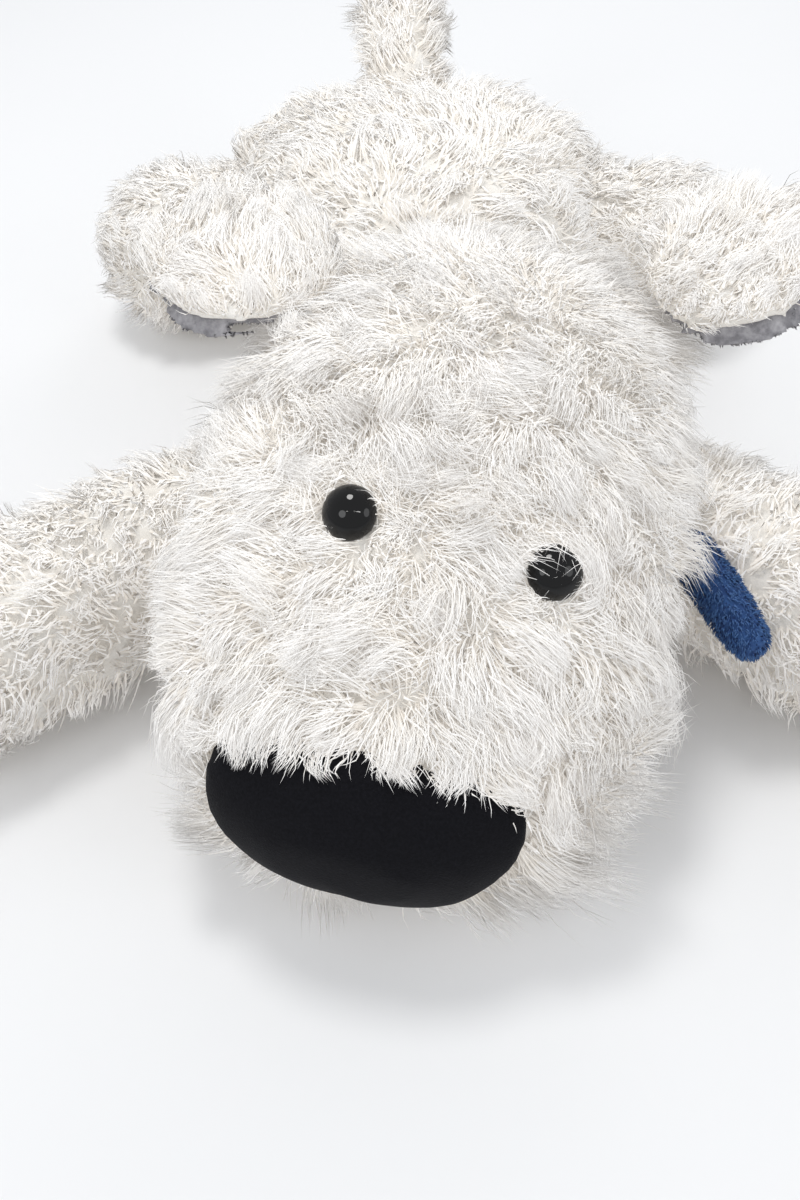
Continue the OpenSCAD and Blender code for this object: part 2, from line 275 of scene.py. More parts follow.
class Bench:
    """The modelling steps that every piece goes through."""

    WELD = 0.00002
    SETTLE_FRAMES = 20
    CLOTH_QUALITY = 5
    CLOTH_MASS = 0.3
    CLOTH_STRETCH = 18
    CLOTH_BEND = 0.6
    SMOOTH_SHARE = 0.5

    @staticmethod
    def pick(*objects: bpy.types.Object) -> bpy.types.Object:
        """Selects only these objects and makes the first one active.

        Args:
            objects: The objects to select.

        Returns:
            The first one.
        """
        bpy.ops.object.select_all(action="DESELECT")
        for item in objects:
            item.select_set(True)
        bpy.context.view_layer.objects.active = objects[0]
        return objects[0]

    @staticmethod
    def copy(name: str, *nodes: str) -> bpy.types.Object:
        """Copies CAD nodes into one new object with its own mesh.

        Args:
            name: Name of the new object.
            nodes: CAD nodes to copy and join.

        Returns:
            The joined copy, with coincident corners merged.
        """
        copies = []
        for node in nodes:
            twin = frame["nodes"][node].copy()
            twin.data = twin.data.copy()
            twin.parent = None
            twin.matrix_world = Matrix.Identity(4)
            bpy.context.collection.objects.link(twin)
            copies.append(twin)
        piece = Bench.pick(*copies)
        if len(copies) > 1:
            bpy.ops.object.join()
        piece.name = name
        piece.data.name = name
        for key in list(piece.keys()):
            del piece[key]
        piece.data.materials.clear()
        bpy.ops.object.mode_set(mode="EDIT")
        bpy.ops.mesh.select_all(action="SELECT")
        bpy.ops.mesh.remove_doubles(threshold=Bench.WELD)
        bpy.ops.object.mode_set(mode="OBJECT")
        return piece

    @staticmethod
    def plug(piece: bpy.types.Object, place: Vector, radius: float) -> None:
        """Joins a ball to the piece, to close a hole through its cover.

        Args:
            piece: The cover.
            place: Middle of the hole.
            radius: Radius of the ball.
        """
        bpy.ops.object.select_all(action="DESELECT")
        bpy.ops.mesh.primitive_uv_sphere_add(segments=20, ring_count=12, radius=radius,
                                             location=place)
        ball = bpy.context.object
        bpy.ops.object.transform_apply(location=True, rotation=True, scale=True)
        Bench.pick(piece, ball)
        bpy.ops.object.join()

    @staticmethod
    def modifier(piece: bpy.types.Object, kind: str, **values: object) -> None:
        """Adds a modifier and applies it.

        Args:
            piece: The piece to finish.
            kind: Blender's name of the modifier.
            values: Its settings.
        """
        Bench.pick(piece)
        added = piece.modifiers.new(kind.lower(), kind)
        for key, value in values.items():
            setattr(added, key, value)
        bpy.ops.object.modifier_apply(modifier=added.name)

    @staticmethod
    def keep_outside(piece: bpy.types.Object) -> None:
        """Deletes every loose shell but the one with the largest box.

        Args:
            piece: The piece, which may hold inner shells.
        """
        mesh = bmesh.new()
        mesh.from_mesh(piece.data)
        left = set(mesh.verts)
        best: list[bmesh.types.BMVert] = []
        reach = -1.0
        while left:
            seed = left.pop()
            shell, queue = [seed], [seed]
            while queue:
                for edge in queue.pop().link_edges:
                    for vert in edge.verts:
                        if vert in left:
                            left.remove(vert)
                            shell.append(vert)
                            queue.append(vert)
            spots = np.array([v.co for v in shell])
            size = float(np.prod(spots.max(0) - spots.min(0)))
            if size > reach:
                best, reach = shell, size
        kept = set(best)
        bmesh.ops.delete(mesh, geom=[v for v in mesh.verts if v not in kept], context="VERTS")
        mesh.to_mesh(piece.data)
        mesh.free()

    @staticmethod
    def corners(mesh: bpy.types.Mesh) -> np.ndarray:
        """Returns the mesh's vertices as rows of x, y, z."""
        flat = np.zeros(len(mesh.vertices) * 3)
        mesh.vertices.foreach_get("co", flat)
        return flat.reshape(-1, 3)

    @staticmethod
    def move_corners(mesh: bpy.types.Mesh, spots: np.ndarray) -> None:
        """Puts the mesh's vertices at these rows of x, y, z."""
        mesh.vertices.foreach_set("co", spots.astype(np.float32).ravel())
        mesh.update()

    @staticmethod
    def puff(piece: bpy.types.Object, pressure: float, limit: float) -> None:
        """Lets the filling press the cover out, as cloth, without moving it further than limit.

        Args:
            piece: A closed mesh.
            pressure: How hard the filling presses.
            limit: Furthest that any point may move.
        """
        before = Bench.corners(piece.data)
        Bench.pick(piece)
        cloth = piece.modifiers.new("filling", "CLOTH")
        cloth.settings.quality = Bench.CLOTH_QUALITY
        cloth.settings.mass = Bench.CLOTH_MASS
        cloth.settings.tension_stiffness = Bench.CLOTH_STRETCH
        cloth.settings.compression_stiffness = Bench.CLOTH_STRETCH
        cloth.settings.bending_stiffness = Bench.CLOTH_BEND
        cloth.settings.use_pressure = True
        cloth.settings.uniform_pressure_force = pressure
        cloth.settings.effector_weights.gravity = 0
        cloth.point_cache.frame_start = 1
        cloth.point_cache.frame_end = Bench.SETTLE_FRAMES
        scene = bpy.context.scene
        for number in range(1, Bench.SETTLE_FRAMES + 1):
            scene.frame_set(number)
        seen = piece.evaluated_get(bpy.context.evaluated_depsgraph_get())
        after = Bench.corners(seen.data)
        piece.modifiers.remove(cloth)
        scene.frame_set(1)
        step = after - before
        length = np.maximum(np.linalg.norm(step, axis=1, keepdims=True), 1e-9)
        Bench.move_corners(piece.data, before + step * np.minimum(length, limit) / length)

    @staticmethod
    def stretch(piece: bpy.types.Object, share: Triple, step: Triple = (0, 0, 0)) -> None:
        """Stretches the piece about its middle and then moves it, in edit mode.

        Args:
            piece: The piece.
            share: New size as a share of the old one, along x, y and z.
            step: How far to move it.
        """
        middle = tuple(Bench.corners(piece.data).mean(0))
        Bench.pick(piece)
        bpy.ops.object.mode_set(mode="EDIT")
        bpy.ops.mesh.select_all(action="SELECT")
        bpy.ops.transform.resize(value=share, center_override=middle)
        bpy.ops.transform.translate(value=step)
        bpy.ops.object.mode_set(mode="OBJECT")

    @staticmethod
    def turn(piece: bpy.types.Object, angle: float, place: Vector) -> None:
        """Turns the piece about the y axis.

        Args:
            piece: The piece.
            angle: Angle in degrees.
            place: A point of the axis.
        """
        there = Matrix.Translation(place)
        turned = Matrix.Rotation(math.radians(angle), 4, "Y")
        piece.data.transform(there @ turned @ there.inverted())
        piece.data.update()

    @staticmethod
    def soften(piece: bpy.types.Object, repeat: int) -> None:
        """Smooths the piece's corners this many times and shades it smooth."""
        Bench.modifier(piece, "SMOOTH", iterations=repeat, factor=Bench.SMOOTH_SHARE)
        Bench.pick(piece)
        bpy.ops.object.shade_smooth()


# ---- fur ----------------------------------------------------------------------------


@dataclass(frozen=True)
class Coat:
    """How a pile grows. Lengths are in metres; shares are from 0 to 1."""

    strands: int
    length: float
    width: float = 0.00045
    vary: float = 0.4
    lift: float = 0.75
    bend: float = 0.65
    sag: float = 0.25
    lock: float = 0.0115
    gather: float = 0.90
    stray: float = 0.15
    wave: float = 0.0036
    cycles: float = 0.65
    frizz: float = 0.09
    steps: int = 3
    bright: float = 0.0
    soften: float = 0.78

    def underfur(self, share: float = 0.35) -> "Coat":
        """Returns the short curly layer that lies below this one.

        Args:
            share: Its strands as a share of this layer's.

        Returns:
            The layer, shorter, thicker and more upright.
        """
        return replace(self, strands=int(self.strands * share), length=self.length * 0.55,
                       width=self.width * 1.7, lift=1.0, sag=0.05, lock=self.lock * 0.7,
                       gather=0.5, frizz=0.4, steps=2, bright=-0.6)


def unit(rows: np.ndarray) -> np.ndarray:
    """Returns rows scaled to a length of 1."""
    return rows / np.maximum(np.linalg.norm(rows, axis=-1, keepdims=True), 1e-9)


def swirl(points: np.ndarray, size: float, seed: int) -> np.ndarray:
    """Returns smooth random directions.

    Args:
        points: Rows of x, y, z.
        size: How far apart the directions differ.
        seed: Seed of the pattern.

    Returns:
        One direction for each point, of a length of about 1.
    """
    random = np.random.default_rng(seed)
    made = np.zeros_like(points)
    for _ in range(5):
        wave = random.normal(size=3) * 2.4 / size
        made += np.sin((points @ wave)[:, None] + random.uniform(0, 2 * math.pi, 3))
    return made * 0.5


def everywhere(points: np.ndarray, normals: np.ndarray) -> np.ndarray:
    """Returns full density at every point."""
    return np.ones(len(points))


@dataclass(frozen=True)
class Comb:
    """A combed direction: the same everywhere, or spreading from a middle."""

    way: Triple
    spread: Triple = (0.0, 0.0, 0.0)
    middle: Triple = (0.0, 0.0, 0.0)

    def __call__(self, points: np.ndarray, normals: np.ndarray) -> np.ndarray:
        """Returns the direction at each point."""
        return np.array(self.way) + np.array(self.spread) * (points - np.array(self.middle))


@dataclass(frozen=True)
class Facing:
    """Density that depends on which way the cover faces."""

    way: Triple
    least: float

    def __call__(self, points: np.ndarray, normals: np.ndarray) -> np.ndarray:
        """Returns the density at each point."""
        return np.clip(normals @ np.array(self.way) + self.least, 0, 1)


@dataclass(frozen=True)
class Ground:
    """How a pile thins and shortens towards the floor that the toy lies on."""

    gap: float = 0.0030
    level: float = 0.85
    thin: float = 0.38
    full_height: float = 0.016
    short: float = 0.6

    def thick(self, points: np.ndarray, normals: np.ndarray) -> np.ndarray:
        """Returns the density at each point, less where the cover faces the floor."""
        return np.clip(self.level + normals[:, 2], self.thin, 1) * (points[:, 2] > self.gap)

    def trim(self, points: np.ndarray, normals: np.ndarray) -> np.ndarray:
        """Returns the share of the full length at each point."""
        return np.clip(points[:, 2] / self.full_height, self.short, 1)


@dataclass
class Fur:
    """A pile of strands that grows from a cover.

    The fields flow, thick and trim take points with normals. They give the direction that
    the pile is combed in, the share of the full density and the share of the full length.
    """

    coat: Coat
    flow: Field
    thick: Field
    trim: Field
    seed: int
    depth: float = 0.0006
    floor: float = 0.0006
    base: float = 0.0002
    cell: float = 0.004
    packing: float = 0.75
    swirl_size: float = 0.034
    swirl_share: float = 0.75
    swirl_seed: int = 5
    random: np.random.Generator = field(init=False)
    lock_of: np.ndarray = field(init=False)

    def __post_init__(self) -> None:
        """Starts the pile's own random numbers."""
        self.random = np.random.default_rng(self.seed)
        self.lock_of = np.zeros(0, int)

    def grow(self, skin: bpy.types.Object, name: str,
             tones: list[bpy.types.Material]) -> bpy.types.Object:
        """Grows the pile.

        Args:
            skin: The cover that it grows from.
            name: Name of the new piece.
            tones: Materials from root to tip tones, darkest first.

        Returns:
            The pile as one mesh of closed tapered strands.
        """
        roots, normals = self._scatter(skin.data)
        return self._mesh(self._lines(roots, normals), normals, name, tones)

    def _scatter(self, mesh: bpy.types.Mesh) -> tuple[np.ndarray, np.ndarray]:
        """Scatters roots over the cover.

        Args:
            mesh: The cover's mesh.

        Returns:
            Places of the roots, and the cover's smooth normals there.
        """
        mesh.calc_loop_triangles()
        count = len(mesh.loop_triangles)
        index = np.zeros(count * 3, int)
        mesh.loop_triangles.foreach_get("vertices", index)
        index = index.reshape(-1, 3)
        spots = Bench.corners(mesh)
        a, b, c = (spots[index[:, k]] for k in range(3))
        cross = np.cross(b - a, c - a)
        double = np.linalg.norm(cross, axis=1)
        facing = cross / np.maximum(double, 1e-12)[:, None]
        share = double * np.clip(self.thick((a + b + c) / 3, facing), 0, None)
        number = self.coat.strands
        chosen = self.random.choice(count, number, p=share / share.sum())
        u, v = self.random.random((2, number))
        over = u + v > 1
        u[over], v[over] = 1 - u[over], 1 - v[over]
        u, v = u[:, None], v[:, None]
        roots = a[chosen] + u * (b - a)[chosen] + v * (c - a)[chosen]
        smooth = np.zeros(len(mesh.vertices) * 3)
        mesh.vertices.foreach_get("normal", smooth)
        smooth = smooth.reshape(-1, 3)
        na, nb, nc = (smooth[index[chosen, k]] for k in range(3))
        return roots, unit(na + u * (nb - na) + v * (nc - na))

    def _comb(self, roots: np.ndarray, normals: np.ndarray) -> np.ndarray:
        """Combs the pile.

        Args:
            roots: Places of the roots.
            normals: The cover's normals there.

        Returns:
            The combed direction along the cover at each root.
        """
        way = unit(self.flow(roots, normals))
        way = way + self.swirl_share * swirl(roots, self.swirl_size, self.swirl_seed)
        return unit(way - normals * (way * normals).sum(1)[:, None])

    def _gather(self, roots: np.ndarray) -> np.ndarray:
        """Gathers the strands in locks, each round the root of one strand.

        Args:
            roots: Places of the roots.

        Returns:
            The strands that lead a lock. Each strand's own lock is noted in lock_of.
        """
        number = len(roots)
        cells = len(np.unique(np.floor(roots / self.cell).astype(int), axis=0))
        locks = int(cells * self.cell**2 * self.packing / self.coat.lock**2)
        locks = max(8, min(number // 3, locks))
        heads = self.random.choice(number, locks, replace=False)
        tree = KDTree(locks)
        for k, head in enumerate(heads):
            tree.insert(roots[head], k)
        tree.balance()
        self.lock_of = np.array([tree.find(root)[1] for root in roots])
        return heads

    def _lines(self, roots: np.ndarray, normals: np.ndarray) -> np.ndarray:
        """Bends each strand, on its own and with its lock.

        Args:
            roots: Places of the roots.
            normals: The cover's normals there.

        Returns:
            The points along each strand, from root to tip.
        """
        coat, random, number = self.coat, self.random, len(roots)
        combed = self._comb(roots, normals)
        heads = self._gather(roots)
        mine, locks = self.lock_of, len(heads)
        trim = self.trim(roots, normals)
        big = 1 + coat.vary * random.uniform(-0.8, 0.6, locks)
        big[random.random(locks) < 0.12] *= 1.35
        long = coat.length * trim * (0.5 * big[mine] + 0.5) * random.uniform(0.75, 1.1, number)
        lock_long = coat.length * trim[heads] * big
        lock_normal = unit(normals[heads] + 0.35 * random.normal(size=(locks, 3)))
        lock_way = unit(combed[heads] + 0.5 * random.normal(size=(locks, 3)))
        lock_side = unit(np.cross(lock_normal, lock_way))
        phase = random.uniform(0, 2 * math.pi, locks)
        way = unit(combed + 0.4 * random.normal(size=(number, 3)))
        own_normal = unit(normals + 0.3 * random.normal(size=(number, 3)))
        wild = random.random(number) < coat.stray
        pull = np.where(wild, 0.2, coat.gather * random.uniform(0.6, 1.1, number)).clip(0, 1)
        own, shared = roots.copy(), roots[heads].copy()
        drift = np.zeros((number, 3))
        lines = [roots - normals * self.depth]
        for k in range(1, coat.steps + 1):
            t = k / coat.steps
            rise = coat.lift * (1 - 0.75 * coat.bend * t)
            lean = 0.25 + coat.bend * t
            fall = np.array([0, 0, -coat.sag * t])
            drift += coat.frizz * random.normal(size=(number, 3))
            own_way = unit(own_normal * rise + way * lean + fall + drift)
            own += own_way * (long / coat.steps)[:, None]
            shared_way = unit(lock_normal * rise + lock_way * lean + fall)
            shared += shared_way * (lock_long / coat.steps)[:, None]
            turn = 2 * math.pi * coat.cycles * t + phase
            swing = coat.wave * t**0.5 * np.sin(turn)
            curl = coat.wave * 0.6 * t**0.5 * np.cos(turn)
            middle = shared + lock_side * swing[:, None] + lock_normal * curl[:, None]
            middle = middle[mine] + (own - roots - (shared - roots[heads])[mine]) * 0.35
            grip = (pull * t**0.7)[:, None]
            lines.append(own * (1 - grip) + middle * grip)
        stack = np.stack(lines, 1)
        stack[:, :, 2] = np.maximum(stack[:, :, 2], self.floor)
        return stack

    def _rings(self, lines: np.ndarray, normals: np.ndarray) -> tuple[np.ndarray, np.ndarray]:
        """Wraps each line in tapering three-sided rings that end in its tip.

        Args:
            lines: Points along each strand.
            normals: Normal of the cover at each strand, which softens its shading.

        Returns:
            The corners of each strand, and their shading normals.
        """
        number, rows = lines.shape[:2]
        ahead = np.empty_like(lines)
        ahead[:, :-1] = lines[:, 1:] - lines[:, :-1]
        ahead[:, -1] = ahead[:, -2]
        ahead = unit(ahead)
        spin = unit(self.random.normal(size=(number, 1, 3)))
        side = unit(np.cross(ahead, spin))
        up = np.cross(ahead, side)
        thick = self.coat.width * self.random.uniform(0.7, 1.25, number)[:, None]
        taper = 0.5 * np.array([1.0, *np.linspace(1.0, 0.55, rows - 2)])[None, :] * thick
        spokes = np.stack([math.cos(a) * side[:, :-1] + math.sin(a) * up[:, :-1]
                           for a in (0, 2 * math.pi / 3, 4 * math.pi / 3)], 2)
        rings = (lines[:, :-1, None] + taper[..., None, None] * spokes).reshape(number, -1, 3)
        soft = np.concatenate([spokes.reshape(number, -1, 3), ahead[:, -1:]], 1)
        soft = unit(soft * (1 - self.coat.soften) + normals[:, None] * self.coat.soften)
        rings[:, :, 2] = np.maximum(rings[:, :, 2], self.base)
        return np.concatenate([rings, lines[:, -1:]], 1), soft

    @staticmethod
    def _faces(rows: int, each: int) -> tuple[np.ndarray, np.ndarray]:
        """Lists the faces of one strand.

        Args:
            rows: Points along the strand.
            each: Corners of the strand.

        Returns:
            Its triangles, and how far up each one lies, in rings.
        """
        faces, bands = [(0, 2, 1)], [0]
        for k in range(rows - 2):
            for i in range(3):
                a, b = 3 * k + i, 3 * k + (i + 1) % 3
                faces += [(a, b, b + 3), (a, b + 3, a + 3)]
                bands += [k, k]
        last = 3 * (rows - 2)
        for i in range(3):
            faces.append((last + i, last + (i + 1) % 3, each - 1))
            bands.append(rows - 2)
        return np.array(faces), np.array(bands)

    def _shades(self, bands: np.ndarray, rows: int, number: int, top: int) -> np.ndarray:
        """Chooses each face's tone: lighter towards the tip, with chance in lock and strand.

        Args:
            bands: How far up each face of a strand lies, in rings.
            rows: Points along a strand.
            number: Number of strands.
            top: The lightest tone's number.

        Returns:
            The number of each face's tone.
        """
        by_lock = self.random.uniform(-0.5, 0.5, self.lock_of.max() + 1)[self.lock_of]
        start = self.coat.bright + 0.6 + by_lock + self.random.uniform(-0.9, 0.9, number)
        rise = (bands / max(1, rows - 2)) ** 0.6 * (top - 0.6)
        return np.rint(start[:, None] + rise[None]).clip(0, top)

    def _mesh(self, lines: np.ndarray, normals: np.ndarray, name: str,
              tones: list[bpy.types.Material]) -> bpy.types.Object:
        """Makes one closed three-sided tapered strand along each line.

        Args:
            lines: Points along each strand.
            normals: Normal of the cover at each strand.
            name: Name of the new piece.
            tones: Materials from root to tip.

        Returns:
            The strands as one mesh.
        """
        number, rows = lines.shape[:2]
        spots, soft = self._rings(lines, normals)
        each = spots.shape[1]
        faces, bands = self._faces(rows, each)
        index = (faces[None] + each * np.arange(number)[:, None, None]).ravel()
        total = number * len(faces)
        mesh = bpy.data.meshes.new(name)
        mesh.vertices.add(number * each)
        mesh.vertices.foreach_set("co", spots.astype(np.float32).ravel())
        mesh.loops.add(total * 3)
        mesh.loops.foreach_set("vertex_index", index.astype(np.int32))
        mesh.polygons.add(total)
        mesh.polygons.foreach_set("loop_start", np.arange(0, total * 3, 3, dtype=np.int32))
        for each_tone in tones:
            mesh.materials.append(each_tone)
        shade = self._shades(bands, rows, number, len(tones) - 1)
        mesh.polygons.foreach_set("material_index", shade.astype(np.int32).ravel())
        mesh.polygons.foreach_set("use_smooth", np.ones(total, bool))
        mesh.update(calc_edges=True)
        mesh.normals_split_custom_set_from_vertices(soft.reshape(-1, 3))
        piece = bpy.data.objects.new(name, mesh)
        bpy.context.collection.objects.link(piece)
        return piece


# ---- the toy ------------------------------------------------------------------------


@dataclass(frozen=True)
class Pose:
    """Where the head sits, as in the CAD."""

    neck: Triple = (0.0135, -0.0405, 0.070)
    turn: float = -12.0
    tilt: float = 7.0

    def matrix(self) -> Matrix:
        """Returns the way from head coordinates to the row frame."""
        return (
            Matrix.Translation(self.neck)
            @ Matrix.Rotation(math.radians(self.turn), 4, "Z")
            @ Matrix.Rotation(math.radians(self.tilt), 4, "Y")
        )

    def local(self, points: np.ndarray) -> np.ndarray:
        """Returns points of the row frame in head coordinates."""
        back = np.array(self.matrix().inverted())
        return points @ back[:3, :3].T + back[:3, 3]

    def outward(self, ways: np.ndarray) -> np.ndarray:
        """Returns directions in head coordinates as directions in the row frame."""
        return ways @ np.array(self.matrix())[:3, :3].T


@dataclass
class Toy:
    """What every part of the toy shares: finishes, the head's pose and the count of piles."""

    finishes: Finishes = field(default_factory=Finishes)
    pose: Pose = Pose()
    ground: Ground = Ground()
    seed: int = 11
    triangles: int = 0

    def skin(self, name: str, nodes: tuple[str, ...], replaces: tuple[str, ...], body: str,
             cloth: Cloth, plugs: tuple[tuple[Vector, float], ...] = ()) -> bpy.types.Object:
        """Makes a stuffed cover from CAD nodes.

        Args:
            name: Name of the piece.
            nodes: CAD nodes that give the form.
            replaces: CAD nodes that the piece stands for.
            body: CAD body that it moves with.
            cloth: How it is sewn and filled.
            plugs: Places and radii of balls that close holes.

        Returns:
            The cover, with no finish yet.
        """
        piece = Bench.copy(name, *nodes)
        for place, radius in plugs:
            Bench.plug(piece, place, radius)
        Bench.modifier(piece, "REMESH", mode="VOXEL", voxel_size=cloth.voxel)
        Bench.keep_outside(piece)
        Bench.puff(piece, cloth.pressure, cloth.swell)
        Bench.soften(piece, cloth.smooth)
        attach(piece, body)
        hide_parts(*replaces)
        log.info("%s: %d faces", name, len(piece.data.polygons))
        return piece

    def dress(self, piece: bpy.types.Object, slot: Slot, finish: Finish) -> None:
        """Gives a piece one finish."""
        piece.data.materials.clear()
        piece.data.materials.append(self.finishes.get(slot.value, finish))

    def fur(self, skin: bpy.types.Object, name: str, body: str, coat: Coat, flow: Field,
            thick: Field, trim: Field = everywhere, slot: Slot = Slot.FUR,
            tones: tuple[Finish, ...] = Finishes.FUR_TONES) -> None:
        """Grows a pile on a cover and lets it ride on the cover's body.

        Args:
            skin: The cover.
            name: Name of the pile.
            body: CAD body that it moves with.
            coat: Its strands. A long pile gets a layer of underfur as well.
            flow: Direction that it is combed in.
            thick: Share of the full density.
            trim: Share of the full length.
            slot: Material slot of the record.
            tones: Tones from root to tip.
        """
        layers = {name: coat}
        if slot is Slot.FUR:
            layers[f"{name}_under"] = coat.underfur()
        materials = self.finishes.tones(slot.value, tones)
        for label, layer in layers.items():
            self.seed += 1
            grown = Fur(layer, flow, thick, trim, self.seed).grow(skin, label, materials)
            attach(grown, body)
            count = len(grown.data.polygons)
            self.triangles += count
            log.info("%s: %d triangles, %d so far", label, count, self.triangles)


def middle_of(node: str) -> Vector:
    """Returns the middle of a CAD node's box."""
    low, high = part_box(node)
    return (low + high) / 2


@dataclass
class Head:
    """Head cover, nose and eyes, with the head's own pile.

    Places are in head coordinates: x towards the dog's left, y towards the back.
    """

    toy: Toy
    cloth: Cloth = Cloth(0.005, 0.002)
    nose_cloth: Cloth = Cloth(0.0022, 0.0025, smooth=6, fill=0.8)
    eye_voxel: float = 0.0007
    eye_smooth: int = 16
    eye_clear: float = 0.0090
    washer_hole: float = 0.011
    washer_step: Triple = (0, -0.001, -0.004)
    jowl: Triple = (0.060, -0.135, -0.032)
    jowl_reach: float = 0.042
    jowl_push: float = 0.011
    jowl_start: float = 0.030
    jowl_ramp: float = 0.020
    jowl_longer: float = 0.35
    nose_x: float = 0.003
    nose_z: float = -0.007
    nose_wide: float = 0.049
    nose_above: float = 0.017
    nose_below: float = 0.034
    nose_back: float = -0.155
    cheek_x: float = 0.050
    throat_y: float = -0.150
    throat_facing: float = -0.45
    throat_thin: float = 0.35
    muzzle_y: float = -0.122
    crown_y: float = -0.062
    chin_z: float = -0.020
    pile: float = 0.020
    chin_pile: float = 0.019
    throat_pile: float = 0.010
    strands: dict[str, int] = field(default_factory=lambda: {
        "muzzle": 6600, "chin": 3600, "forehead": 6000, "crown": 6000, "cheek_right": 7000,
        "cheek_left": 7000, "throat": 1200})
    brow: Coat = Coat(190, 0.020, 0.00030, lift=1.0, bend=1.0, sag=0.5, lock=0.006,
                      gather=0.5, steps=4)
    brow_near: float = 0.0095
    brow_far: float = 0.019
    brow_below: float = 0.003
    brow_aim: Triple = (0, -0.006, 0)

    def build(self) -> None:
        """Builds the head, from the cover to the hairs over the eyes."""
        toy = self.toy
        step = Vector(self.washer_step)
        holes = tuple((middle_of(f"eye_washer_{side.value}") + step, self.washer_hole)
                      for side in Side)
        skin = toy.skin("head_cover", ("head_shell", "chin_panel", "head_filling"),
                        ("head_shell", "chin_panel"), "head", self.cloth, holes)
        self._fill_jowl(skin)
        toy.dress(skin, Slot.FUR, Finishes.UNDERCOAT)
        self._nose()
        for side in Side:
            self._eye(side)
        self._coat(skin)
        for side in Side:
            self._brow(skin, side)

    def _fill_jowl(self, skin: bpy.types.Object) -> None:
        """Presses the cover out at the left jowl, where the filling has gathered.

        Args:
            skin: The head cover.
        """
        spots = Bench.corners(skin.data)
        local = self.toy.pose.local(spots)
        near = np.exp(-(((local - np.array(self.jowl)) / self.jowl_reach) ** 2).sum(1))
        near *= np.clip((local[:, 0] - self.jowl_start) / self.jowl_ramp, 0, 1)
        push = self.toy.pose.outward(np.array([[self.jowl_push, 0, 0]]))
        Bench.move_corners(skin.data, spots + near[:, None] * push)

    def _nose(self) -> None:
        """Builds the stuffed velvet nose."""
        both = ("nose_cover", "nose_filling")
        pad = self.toy.skin("nose_pad", both, both, "head", self.nose_cloth)
        Bench.modifier(pad, "SUBSURF", levels=1)
        self.toy.dress(pad, Slot.VELVET, Finishes.VELVET)

    def _eye(self, side: Side) -> None:
        """Rounds and polishes one domed eye.

        Args:
            side: The side that it is on.
        """
        node = f"eye_{side.value}"
        eye = Bench.copy(f"{node}_dome", node)
        Bench.modifier(eye, "REMESH", mode="VOXEL", voxel_size=self.eye_voxel)
        Bench.soften(eye, self.eye_smooth)
        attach(eye, "head")
        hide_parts(node)
        self.toy.dress(eye, Slot.EYE, Finishes.EYE)

    def _eyes(self) -> list[np.ndarray]:
        """Returns the places of both eyes, in the row frame."""
        return [np.array(middle_of(f"eye_{side.value}")) for side in Side]

    def _nose_ring(self, local: np.ndarray) -> np.ndarray:
        """Measures how far out points lie from the nose pad.

        Args:
            local: Points in head coordinates.

        Returns:
            A number for each point: below 1 on the pad, 1 at its rim.
        """
        x, _, z = local.T
        tall = np.where(z > self.nose_z, self.nose_above, self.nose_below)
        return np.sqrt(((x - self.nose_x) / self.nose_wide) ** 2 + ((z - self.nose_z) / tall) ** 2)

    def _clear(self, points: np.ndarray) -> np.ndarray:
        """Leaves room for the nose and the eyes.

        Args:
            points: Points of the row frame.

        Returns:
            0 where the nose or an eye sits, else 1.
        """
        local = self.toy.pose.local(points)
        free = np.ones(len(points))
        free[(self._nose_ring(local) < 1) & (local[:, 1] < self.nose_back)] = 0
        for eye in self._eyes():
            free[np.linalg.norm(points - eye, axis=1) < self.eye_clear] = 0
        return free

    def _region(self, name: str, points: np.ndarray, normals: np.ndarray) -> np.ndarray:
        """Gives the density of one region of the head.

        Args:
            name: The region.
            points: Points of the row frame.
            normals: The cover's normals there.

        Returns:
            The share of the full density at each point.
        """
        x, y, z = self.toy.pose.local(points).T
        low = (normals[:, 2] < self.throat_facing) & (y > self.throat_y)
        side = (np.abs(x) > self.cheek_x) & ~low
        front = y < self.muzzle_y
        back = y > self.crown_y
        picks = {
            "throat": low,
            "cheek_right": side & (x < 0),
            "cheek_left": side & (x > 0),
            "muzzle": ~low & ~side & front & (z > self.chin_z),
            "chin": ~low & ~side & front & (z <= self.chin_z),
            "crown": ~low & ~side & back,
            "forehead": ~low & ~side & ~front & ~back,
        }
        thin = self.throat_thin if name == "throat" else 1.0
        return picks[name] * self._clear(points) * thin

    def _flow(self, points: np.ndarray, normals: np.ndarray) -> np.ndarray:
        """Combs the head: down over the muzzle, outwards at the cheeks, away round the nose.

        Args:
            points: Points of the row frame.
            normals: The cover's normals there; not used.

        Returns:
            The combed direction at each point.
        """
        local = self.toy.pose.local(points)
        x, y, z = local.T
        out = np.sign(x) * np.clip(np.abs(x) / 0.07, 0, 1) ** 1.3
        way = np.stack([0.9 * out, -1 + 0.4 * np.abs(out), -0.35 - 0.5 * np.abs(out)], 1)
        rear = np.clip((y + 0.05) / 0.05, 0, 1)[:, None]
        way = way * (1 - rear) + rear * np.stack([out, 0.2 + 0 * x, -0.4 + 0 * x], 1)
        ring = np.stack([x - self.nose_x, -0.02 + 0 * x, 1.3 * (z - self.nose_z)], 1)
        near = np.clip(1.9 - self._nose_ring(local), 0, 1) * (y < -0.12) * (z < 0.004)
        way = unit(way) * (1 - near[:, None]) + unit(ring) * near[:, None]
        return self.toy.pose.outward(way)

